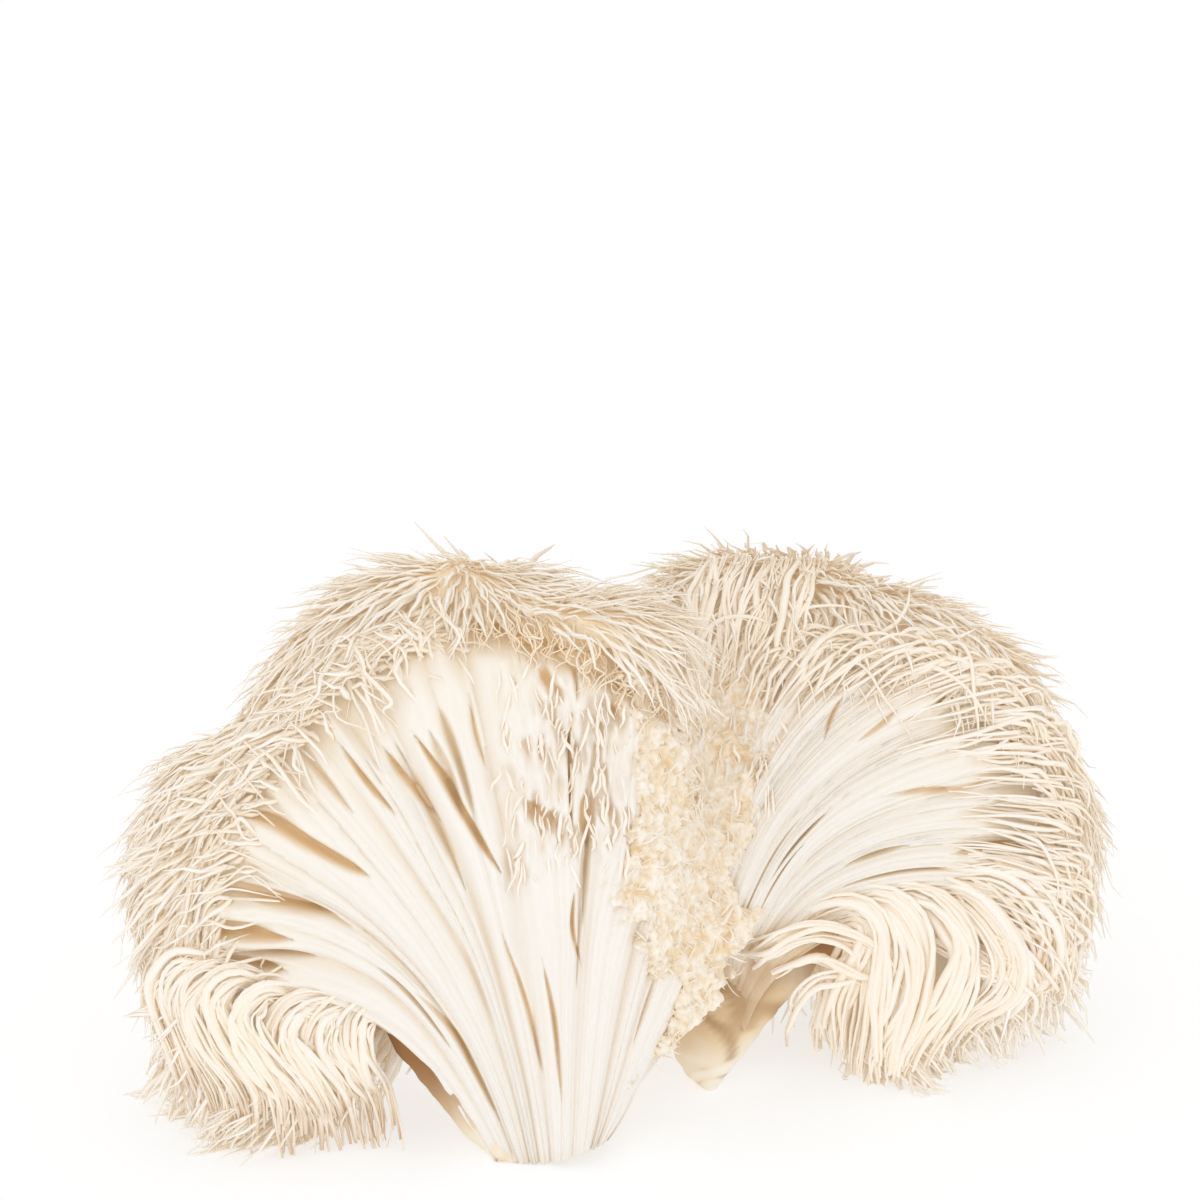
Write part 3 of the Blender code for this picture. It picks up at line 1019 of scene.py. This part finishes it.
# lengths in mm: how far apart the spines stand, how long and thick they are, how they rise and wave
spineCoats = {
    "left_front": {"Spacing": 1.05, "Length": 11, "Thickness": 0.78, "Rise": 0.2, "Wave": 0.36, "Seed": 3},
    "right_front": {"Spacing": 1.05, "Length": 11, "Thickness": 0.78, "Rise": 0.2, "Wave": 0.36, "Seed": 8},
    "left_back": {"Spacing": 1.75, "Length": 13, "Thickness": 1.05, "Rise": 0.24, "Wave": 0.32, "Seed": 4},
    "right_back": {"Spacing": 1.75, "Length": 13, "Thickness": 1.05, "Rise": 0.24, "Wave": 0.32, "Seed": 9},
    "flap": {"Spacing": 0.9, "Length": 12, "Thickness": 0.55, "Rise": 0.16, "Clump": 0.5, "Seed": 5},
    "rim_left": {"Spacing": 1.2, "Length": 9.5, "Thickness": 0.75, "Rise": 0.24, "Wave": 0.45, "Seed": 14},
    "rim_right": {"Spacing": 1.5, "Length": 9, "Thickness": 0.7, "Rise": 0.24, "Wave": 0.5, "Seed": 17},
}
usedInGrowing = (
    "middle", "root", "up", "flow", "comb", "size", "lean", "stand", "spiny", "long", "deep", "tone", "burnt")
rimCoats = {"left": {"from": 0.88, "fade": 0.08}, "right": {"from": 0.94, "fade": 0.05}}


def subMesh(mesh, keep, name):  # the part of a mesh whose vertices are kept, with its values
    part = bmesh.new()
    part.from_mesh(mesh)
    part.verts.ensure_lookup_table()
    bmesh.ops.delete(part, geom=[part.verts[i] for i in np.flatnonzero(~keep)], context="VERTS")
    picked = bpy.data.meshes.new(name)
    part.to_mesh(picked)
    part.free()
    return picked


def growSpines(name, surface, material):
    options = {label: value * mm if label in ("Spacing", "Length", "Thickness") else value
               for label, value in spineCoats[name].items()}
    mesh = grownMesh(name, surface, "combedSpines", Material=material, **options)
    along, shade = takeValues(mesh, "along", "shade")
    for label in [layer.name for layer in mesh.attributes if layer.name in usedInGrowing]:
        mesh.attributes.remove(mesh.attributes[label])
    tone = np.clip(0.25 + along * 0.5 + (shade - 0.5) * 0.7, 0, 1)
    # painted shade in tan at the roots, deep in the coat
    setValues(mesh, deep=np.clip(0.3 - along * 0.8, 0, 1), tone=tone)
    return addPiece("spines_" + name, mesh, material)


def rimSurface(name, half):  # the outer band of the torn face, where spines hang over its edge
    coat = rimCoats[name]
    rows = np.linspace(coat["from"], 1, 12)
    across, along = np.meshgrid(np.linspace(0.0, 1, 90), rows)
    along = along + 0.04 * noiseField(71, 2)(across * 25, along * 0) * (1 - ease(0.93, 1.0, along))
    x, z = fibrePlan(half, across, along)
    shape = half["plain"].shape
    first = faceShapes[name]["from"]
    pick = np.clip((along - first) / (1 - first) * (shape[0] - 1), 0, shape[0] - 1)
    y = half["plain"][pick.round().astype(int), (across * (shape[1] - 1)).round().astype(int)]
    y = blurred(blurred(y, 1, 0), 3, 1) + 1.0
    mesh = bpy.data.meshes.new("rim")
    points = toWorld(half, np.stack([x, y, z], -1).reshape(-1, 3))
    mesh.from_pydata(points.tolist(), [], sheetFaces(*x.shape)[:, ::-1].tolist())
    fan = np.gradient(np.stack([x, z], -1), axis=0)
    fan /= np.linalg.norm(fan, axis=-1)[..., None]
    turn = -1 if name == "left" else 1
    sweep = np.stack([turn * fan[..., 1], -turn * fan[..., 0]], -1)  # along the rim, away from the middle
    turned = ease(coat["from"], 1.0, along)
    outward, aside, drop = 1.0 - 0.7 * turned, 0.15 + 0.75 * turned, 0.1 + 0.35 * turned
    direction = np.stack([
        outward * fan[..., 0] + aside * sweep[..., 0], np.full(x.shape, -0.12),
        outward * fan[..., 1] + aside * sweep[..., 1] - drop], -1)
    direction = direction.reshape(-1, 3) @ np.array(half["axes"])[:3, :3].T
    setVectors(mesh, "comb", direction)
    spiny = ease(coat["from"], coat["from"] + coat["fade"], along)
    spiny = spiny * (1 - ease(-9, -4, x) if name == "left" else ease(-4, 6, x))
    setValues(mesh, spiny=spiny.ravel(), long=1.0)
    return mesh


# strands: single thick fibres that leave the faces, hang in locks or curl in the torn flesh
def makeStrandTree():
    tree, given, result = newGroup("thickStrands", "GeometryNodeTree", {
        "Lines": "Geometry", "Sides": 6, "Material": "Material"}, {"Strands": "Geometry"})
    curves = made(tree, "GeometryNodeMeshToCurve", "Curve", {"Mesh": given["Lines"]})
    tube = tubeAlong(tree, curves, given["Sides"], readValue(tree, "thick"))
    finishTree(tree, result, tube, given["Material"])


def makeStrands(name, strands, sides):  # strands are (points in metres, thickness in mm, tone, tan share of painted shade and stain, brown share of painted shadow and stain)
    points = np.concatenate([strand[0] for strand in strands])
    counts = [len(strand[0]) for strand in strands]
    starts = np.concatenate([[0], np.cumsum(counts)[:-1]])
    edges = [(start + step, start + step + 1) for start, n in zip(starts, counts) for step in range(n - 1)]
    mesh = meshFrom(name, points, [], edges, lowest=0.5)
    thick, tone, deep, burnt = (
        np.concatenate([np.broadcast_to(strand[k], n) for strand, n in zip(strands, counts)])
        for k in (1, 2, 3, 4))
    setValues(mesh, thick=thick * mm, tone=tone, deep=deep, burnt=burnt)
    grown = grownMesh(name, mesh, "thickStrands", Material=strandFlesh, Sides=sides)
    return addPiece(name, grown, strandFlesh)


def tapered(count, root, tip, power=3.0):  # 1 along most of the strand, less at its two ends
    share = np.linspace(0, 1, count)
    return (1 - (1 - root) * (1 - share) ** power) * (1 - (1 - tip) * share**power)


looseStrands = {
    "left": {
        "count": 150, "from": (0.82, 0.94), "beyond": (2, 9), "thick": (0.25, 0.6), "lift": (-0.3, 0.5),
        "sway": 2.4, "droop": 0.35, "seed": 31,
    },
    "right": {
        "count": 420, "from": (0.80, 0.97), "beyond": (7, 24), "thick": (0.34, 0.72), "lift": (0.2, 2.0),
        "sway": 1.5, "droop": 0.18, "seed": 37,
    },
}


def drape(start, direction, length, tree, rng, droop):  # a strand that runs on over the hull and hangs down
    step = 1.2 * mm
    place, heading = np.array(start), np.array(direction) / np.linalg.norm(direction)
    lift = rng.uniform(-1.5, 1.2) * mm
    drift = rng.normal(0, 0.05, 3)
    line = []
    for _ in range(int(length * mm / step)):
        heading = heading + np.array([0, 0, -droop]) + drift + rng.normal(0, 0.05, 3)
        near, normal, _, _ = tree.find_nearest(Vector(place))
        normal = np.array(normal)
        above = (place - np.array(near)) @ normal
        pull = np.clip((lift - above) / (3 * mm), -0.6, 0.6)
        heading = heading - normal * (heading @ normal) * 0.5 + normal * pull
        heading /= np.linalg.norm(heading)
        place = place + heading * step
        line.append(place)
    return np.array(line)


def fibreLine(name, half, across, start, end, lift, count):  # a line just over the torn face, along one fibre
    first = faceShapes[name]["from"]
    rows, columns = half["plain"].shape
    along = np.linspace(start, end, count)
    x, z = fibrePlan(half, np.full(count, across), along)
    row = np.clip((along - first) / (1 - first) * (rows - 1), 0, rows - 1).astype(int)
    y = half["plain"][row, int(across * (columns - 1))] - lift
    return toWorld(half, np.stack([x, y, z], 1))


def faceStrands(name, half, tree):
    options = looseStrands[name]
    rng = np.random.RandomState(options["seed"])
    strands = []
    for _ in range(options["count"]):
        across = rng.uniform(0.01, 0.99)
        start = rng.uniform(*options["from"])
        lift = np.linspace(-1.2, rng.uniform(*options["lift"]), 10)
        end = rng.uniform(0.93, 1.0)
        drift = rng.uniform(-0.02, 0.02)
        line = fibreLine(name, half, across, start, max(end, start + 0.05), lift, 10)
        if name == "left" and underFlap(*toLocal(half, line[-1:])[0][[0, 2]]) > 0.1:
            continue
        sway = noiseField(rng.randint(1e6), 2)
        leaving = line[-1] - line[-2] + (drift * mm, 0, 0)
        tail = drape(line[-1], leaving, rng.uniform(*options["beyond"]), tree, rng, options["droop"])
        if len(tail) < 2:
            continue
        line = np.concatenate([line, tail])
        count = len(line)
        waves = [sway(np.linspace(0, 3, count), k * 9.0) for k in range(3)]
        line = line + np.stack(waves, 1) * options["sway"] * mm
        share = np.linspace(0, 1, count)
        low, high = options["thick"]
        thick = (low + (high - low) * rng.uniform(0, 1) ** 1.8) * tapered(count, 0.3, 0.2)
        tone = rng.uniform(0.6, 1.1) - 0.5 * share
        strands.append((line, thick, np.clip(tone, 0, 1), 0.15 * share * rng.uniform(0, 1), 0.0))
    return strands


# locks of strands: how many, how wide apart at root and tip, how thick, how brown and how thin the tips are,
# and the middle line as (x, z, lift off the hull)
lockPaths = {
    "left": [
        (30, 1.5, 4, 0.48, 0.45, 0.35,
         [(-50, 38, -2), (-56, 39, 2), (-60, 34, 3), (-58, 26, 3), (-53, 16, 2), (-52, 3, 1)]),
        (30, 1.5, 4, 0.53, 0.45, 0.35,
         [(-46, 35, -2), (-51, 38, 2.5), (-55, 34, 4), (-52, 26, 4), (-46, 17, 3), (-46, 2, 1)]),
        (27, 1.5, 4, 0.53, 0.45, 0.35,
         [(-41, 33, -2), (-46, 36, 3), (-50, 32, 4.5), (-46, 24, 4), (-41, 15, 2.5), (-40, 1, 1)]),
        (27, 1.5, 4, 0.48, 0.45, 0.35,
         [(-34, 31, -2), (-40, 32, 2), (-43, 27, 3), (-40, 20, 2.5), (-36, 12, 2), (-34, 1, 1)]),
        (30, 2, 4, 0.43, 0.45, 0.35,
         [(-30, 31, -2), (-36, 30, 1), (-37, 23, 1.5), (-33, 14, 1), (-30, 1, 1)]),
        (30, 2, 3.5, 0.43, 0.6, 0.35,
         [(-26, 31, -3), (-30, 28, 0), (-30, 20, 1), (-27, 11, 1), (-26, 2, 1)]),
        (30, 2, 3.5, 0.46, 0.45, 0.35,
         [(-55, 41, -2), (-61, 40, 1.5), (-65, 33, 1.5), (-62, 22, 1), (-58, 8, 1)]),
    ],
    "right": [
        (21, 2.5, 4, 0.69, 0, 0.35,
         [(16, 32, -2.5), (26, 37, 0.5), (31, 30, 2), (31, 20, 3), (30, 11, 3), (29, 2, 2)]),
        (19, 1.5, 3.5, 0.65, 0, 0.35,
         [(19, 31, -2.5), (27, 34, 0.5), (27, 28, 2), (24, 20, 3), (23, 13, 2.5), (23, 5, 2)]),
        (15, 1, 2.5, 0.58, 0, 0.35, [(31, 30, -2), (25, 25, 1), (22, 18, 1.5), (21, 12, 1), (22, 6, 0)]),
        (22, 2.5, 4, 0.69, 0, 0.35,
         [(22, 35, -2.5), (32, 38.5, 0.5), (38, 30, 2), (38, 20, 3.5), (35, 11, 3), (34, 2, 2)]),
        (21, 2.5, 3.5, 0.65, 0, 0.35,
         [(28, 38, -2.5), (40, 40, 0.5), (48, 31, 2), (46, 20, 3), (41, 12, 2.5), (38, 4, 1.5)]),
        (19, 2.5, 3.5, 0.58, 0, 0.35,
         [(36, 40, -2.5), (48, 40, 0.5), (56, 30, 2), (55, 21, 2), (49, 15, 1.5), (45, 9, 1)]),
        (19, 2.5, 4, 0.48, 0, 0.35,
         [(42, 43, -2.5), (54, 44, 0.5), (63, 35, 1), (63, 26, 1), (57, 20, 1), (54, 15, 1)]),
        (12, 1.6, 1.6, 0.46, 0, 0.35,
         [(4, 24, -3), (10, 29, 1), (16, 32, 2.5), (23, 32, 3), (30, 28, 2), (34, 20, 2)]),
        (16, 2.2, 1.8, 0.42, 0, 0.35, [(-1, 100, 0), (-3, 93, 1.5), (-4, 85, 1.5), (-4, 76, 0)]),
        (16, 2.4, 1.8, 0.42, 0, 0.35, [(4, 101, 0), (2, 94, 1.5), (1, 86, 1.5), (0, 77, 0)]),
        (16, 2.4, 1.8, 0.39, 0, 0.35, [(9, 101, 0), (8, 94, 1.5), (6, 87, 1.5), (6, 79, 0)]),
        (14, 2.6, 2.0, 0.39, 0, 0.35, [(15, 101, 0), (14, 95, 1.5), (12, 88, 1.5), (12, 82, 0)]),
        (3, 0.6, 1.0, 0.53, 0, 0.35, [(12, 24, -2), (17, 27, 3), (22, 27, 4), (28, 24, 4), (32, 22, 1)]),
        (3, 0.8, 0.4, 0.53, 0.5, 0.3,
         [(32, 25, -1), (25, 24, 4), (20, 23, 5), (17, 19, 5), (15, 14, 5), (14, 10, 5)]),
    ],
}


def lockStrands(half, lock, rng, points=18):
    strandCount, rootSpread, tipSpread, girth, brown, tip, path = lock
    middle = smoothLine(path, points)
    side = np.gradient(middle[:, :2], axis=0)
    side = np.stack([-side[:, 1], side[:, 0]], 1) / (np.linalg.norm(side, axis=1)[:, None] + 1e-6)
    share = np.linspace(0, 1, points)
    spread = rootSpread + (tipSpread - rootSpread) * share
    strands = []
    for _ in range(strandCount):
        offset, height, reach = rng.uniform(-1, 1), rng.uniform(-1.4, 0.9), rng.uniform(0.8, 1.0)
        sway = noiseField(rng.randint(1e6), 2)
        wobble = sway(share * 3.5, 3.0) * 1.5 + sway(share * 9, 5.0) * 0.35
        plan = middle[:, :2] + side * (offset * spread + wobble)[:, None]
        cut = share * reach
        plan = np.stack([np.interp(cut, share, plan[:, k]) for k in range(2)], 1)
        depth = np.array([outerAt(half, *spot) for spot in plan])
        depth = blurred(depth, 2) - np.interp(cut, share, middle[:, 2]) - height + sway(share * 4, 9.0) * 0.6
        line = toWorld(half, np.stack([plan[:, 0], depth, plan[:, 1]], 1))
        thick = girth * np.clip(np.exp(rng.normal(0, 0.4)), 0.5, 2.4) * tapered(points, 0.3, tip)
        tone = np.clip(rng.uniform(0.55, 1.0) - 0.35 * share, 0, 1)
        burnt = brown * ease(0.86, 1.0, share) * rng.uniform(0.3, 1)
        strands.append((line, thick, tone, 0.1 * share, burnt))
    return strands


# flakes: short torn fibres in the middle of each face
tornFlakes = {
    "left": {"count": 150, "x": (-4, 19), "z": (56, 94), "curls": 110, "seed": 71},
    "right": {"count": 110, "x": (-5, 11), "z": (56, 88), "curls": 0, "seed": 72},
}
flakeShape = {"length": (3, 8), "thick": (0.2, 0.5), "bulge": (-0.2, 1.3), "wide": 0.45, "curlWide": 2.0}


def flakeStrands(name, half, points=10):  # short torn fibres on the face, and curls inside the hollow
    options = tornFlakes[name]
    rng = np.random.RandomState(options["seed"])
    share = np.linspace(0, 1, points)
    strands = []
    for number in range(options["count"] + options["curls"]):
        curl = number >= options["count"]
        x, z = rng.uniform(*options["x"]), rng.uniform(*options["z"])
        if curl:
            x = rng.uniform(-7, 28)
            z = flapLine(x) - rng.uniform(0, 5)
        elif name == "left" and underFlap(x, z) > 0.2:
            continue
        length = rng.uniform(*flakeShape["length"])
        sway = noiseField(rng.randint(1e6), 2)
        wide = flakeShape["curlWide" if curl else "wide"]
        planX = x + rng.normal(0, 0.25) * length * share + wide * sway(share * 3, 1.0)
        planZ = z - length * share + 0.5 * wide * sway(share * 3, 5.0)
        depth = blurred(np.array([outerAt(half, *spot) for spot in zip(planX, planZ)]), 2)
        lift = rng.uniform(*flakeShape["bulge"]) * np.sin(np.pi * share ** 0.7) - 0.7
        if curl:
            lift = lift - rng.uniform(2, 7) * underFlap(planX, planZ)
        line = toWorld(half, np.stack([planX, depth - lift, planZ], 1))
        thick = rng.uniform(*flakeShape["thick"]) * (0.6 if curl else 1.0) * tapered(points, 0.3, 0.25)
        # curls inside the hollow under the flap get a cream tone and painted shade in tan
        tone = rng.uniform(0.1, 0.7) if curl else rng.uniform(0.75, 1.0)
        deep = rng.uniform(0.1, 0.6) if curl else rng.uniform(0, 0.1)
        strands.append((line, thick, tone, deep, 0.0))
    return strands


# crumbly torn flesh between the halves
crumbShape = {"raise": 0.6, "edgeDrop": 4.0, "wall": 3.0, "lump": 1.7, "rough": 2.2, "level": 2}
wispShape = {"count": 1900, "length": (2, 6), "thick": (0.1, 0.26), "curl": 0.75, "seed": 61}


def makeCrumbTree():
    tree, given, result = newGroup("crumbledFlesh", "GeometryNodeTree", {
        "Surface": "Geometry", "Level": 2, "Lump": 2.0 * mm, "Rough": 1.0 * mm, "Material": "Material",
    }, {"Crumbs": "Geometry"})
    fine = made(tree, "GeometryNodeSubdivideMesh", "Mesh", {
        "Mesh": given["Surface"], "Level": given["Level"]})
    place = made(tree, "GeometryNodeInputPosition", 0)
    warped = place + (noiseIn(tree, "Color", place, 260.0, 3.0) - (0.5, 0.5, 0.5)) * 0.006
    coarse, small = (
        (0.55 - made(tree, "ShaderNodeTexVoronoi", "Distance", {"Vector": warped, "Scale": scale})) * share
        for scale, share in ((240.0, 0.8), (620.0, 0.6)))
    grain = noiseIn(tree, "Fac", place, 900.0, 4.0, Roughness=0.7) - 0.5
    rise = ((coarse + small) * given["Lump"] + grain * given["Rough"]) * readValue(tree, "crumb")
    fine = keepValues(tree, fine, raised=rise)
    moved = made(tree, "GeometryNodeSetPosition", "Geometry", {
        "Geometry": fine, "Offset": made(tree, "GeometryNodeInputNormal", 0) * rise})
    finishTree(tree, result, moved, given["Material"])


def makeCrumbs(hull, facts, material):
    points, normals = meshArrays(hull.data)
    weight = ease(0.1, 0.75, facts["crumb"])
    shifted = points + normals * ((crumbShape["raise"] - crumbShape["edgeDrop"] * (1 - weight)) * mm)[:, None]
    mesh = hull.data.copy()
    mesh.vertices.foreach_set("co", shifted.ravel())
    setValues(mesh, crumb=weight)
    patch = linked("crumbs", subMesh(mesh, facts["crumb"] > 0.08, "crumbs"))
    outer = len(patch.data.vertices)
    wall = patch.modifiers.new("wall", "SOLIDIFY")
    wall.thickness = crumbShape["wall"] * mm
    wall.offset = -1
    applied(patch)
    mesh = patch.data
    bpy.data.objects.remove(patch)
    weight = takeValues(mesh, "crumb")[0]
    weight[outer:] = 0
    setValues(mesh, crumb=weight)
    mesh = grownMesh("crumbs", mesh, "crumbledFlesh", Material=material, Level=crumbShape["level"],
                     Lump=crumbShape["lump"] * mm, Rough=crumbShape["rough"] * mm)
    raised, _ = takeValues(mesh, "raised", "crumb")
    where, _ = meshArrays(mesh)
    x = toLocal(halves["left"], where)[:, 0]
    patches = noiseField(91, 3)(*(where.T / (7 * mm)))
    # painted shade in tan in the low spots between lumps, with random patches
    hollows = 0.32 + 0.25 * patches - raised / (1.3 * mm)
    setValues(mesh, deep=np.clip(hollows, 0, 0.9), tone=np.clip(0.9 - 0.5 * ease(15, 26, x), 0, 1), burnt=0.0)
    return addPiece("crumbs", mesh, material)


def wisps(crumbs):  # short curly shreds that stand off the crumbs
    rng = np.random.RandomState(wispShape["seed"])
    points, normals = meshArrays(crumbs.data)
    outer = np.flatnonzero(normals[:, 1] < 0.35)
    strands = []
    for index in rng.choice(outer, wispShape["count"]):
        place, normal = points[index], normals[index]
        heading = rng.normal(0, 1, 3) + (0, 0, rng.choice((-0.8, 0.8)))
        heading = heading - normal * (heading @ normal) * 0.7
        heading = heading / np.linalg.norm(heading) + normal * 0.35
        turn = np.cross(normal, heading) * rng.normal(0, wispShape["curl"])
        count = 9
        step = rng.uniform(*wispShape["length"]) * mm / count
        line = [place - normal * 0.6 * mm]
        for _ in range(count - 1):
            heading = heading + turn - normal * 0.09 + rng.normal(0, 0.18, 3)
            heading /= np.linalg.norm(heading)
            line.append(line[-1] + heading * step)
        thick = rng.uniform(*wispShape["thick"]) * tapered(count, 0.7, 0.3)
        strands.append((np.array(line), thick, rng.uniform(0.2, 1.0), rng.uniform(0, 0.25), 0.0))
    return strands


addCamera()
addStudio()
makeFleshColour()
makeFibreBump()
tornFlesh = fleshMaterial("tornFlesh", subsurface=0.2, glow=0.04, grain=0.35, streaks=1.3)
crumbFlesh = fleshMaterial("crumbFlesh", subsurface=0.2, glow=0.08, grain=0.6)
spineFlesh = fleshMaterial("spineFlesh", glow=0.12)
strandFlesh = fleshMaterial("strandFlesh")
footFlesh = fleshMaterial("footSkin", subsurface=0.1, glow=0.04, grain=0.25, mottle=0.5, hollow=0.3,
                          Brown=(0.26, 0.1, 0.022, 1))
makeSpineTree()
makeStrandTree()
makeCrumbTree()
print("camera, studio, materials and node trees are ready")
hull = makeHull()
hullPoints, _ = meshArrays(hull.data)
worldTree = BVHTree.FromPolygons(hullPoints.tolist(), [tuple(face.vertices) for face in hull.data.polygons])
for name, half in halves.items():
    half["tree"] = treeIn(half, hull.data)
    prepareFan(half)
    makeFace(name, half, tornFlesh)
core, facts = makeCore(hull, spineFlesh)
for name, half in halves.items():
    makeFootSkin(name, half, footFlesh)
onFlap = facts["flap"] > 0.5
facingBack = facts["back"] > 0
isLeft = facts["isLeft"]
coats = {
    "left_front": isLeft & ~onFlap & ~facingBack,
    "left_back": isLeft & facingBack & ~onFlap,
    "right_front": ~isLeft & ~facingBack,
    "right_back": ~isLeft & facingBack,
    "flap": onFlap,
}
for name, covered in coats.items():
    growSpines(name, subMesh(core.data, covered, name), spineFlesh)
for name, half in halves.items():
    growSpines("rim_" + name, rimSurface(name, half), spineFlesh)
    makeStrands("strands_" + name, faceStrands(name, half, worldTree), sides=5)
    rng = np.random.RandomState(51)
    locks = [strand for lock in lockPaths[name] for strand in lockStrands(half, lock, rng)]
    makeStrands("locks_" + name, locks, sides=7)
    makeStrands("flakes_" + name, flakeStrands(name, half), sides=6)
crumbs = makeCrumbs(hull, facts, crumbFlesh)
makeStrands("wisps", wisps(crumbs), sides=4)
bpy.data.objects.remove(hull)
print("all pieces are made")
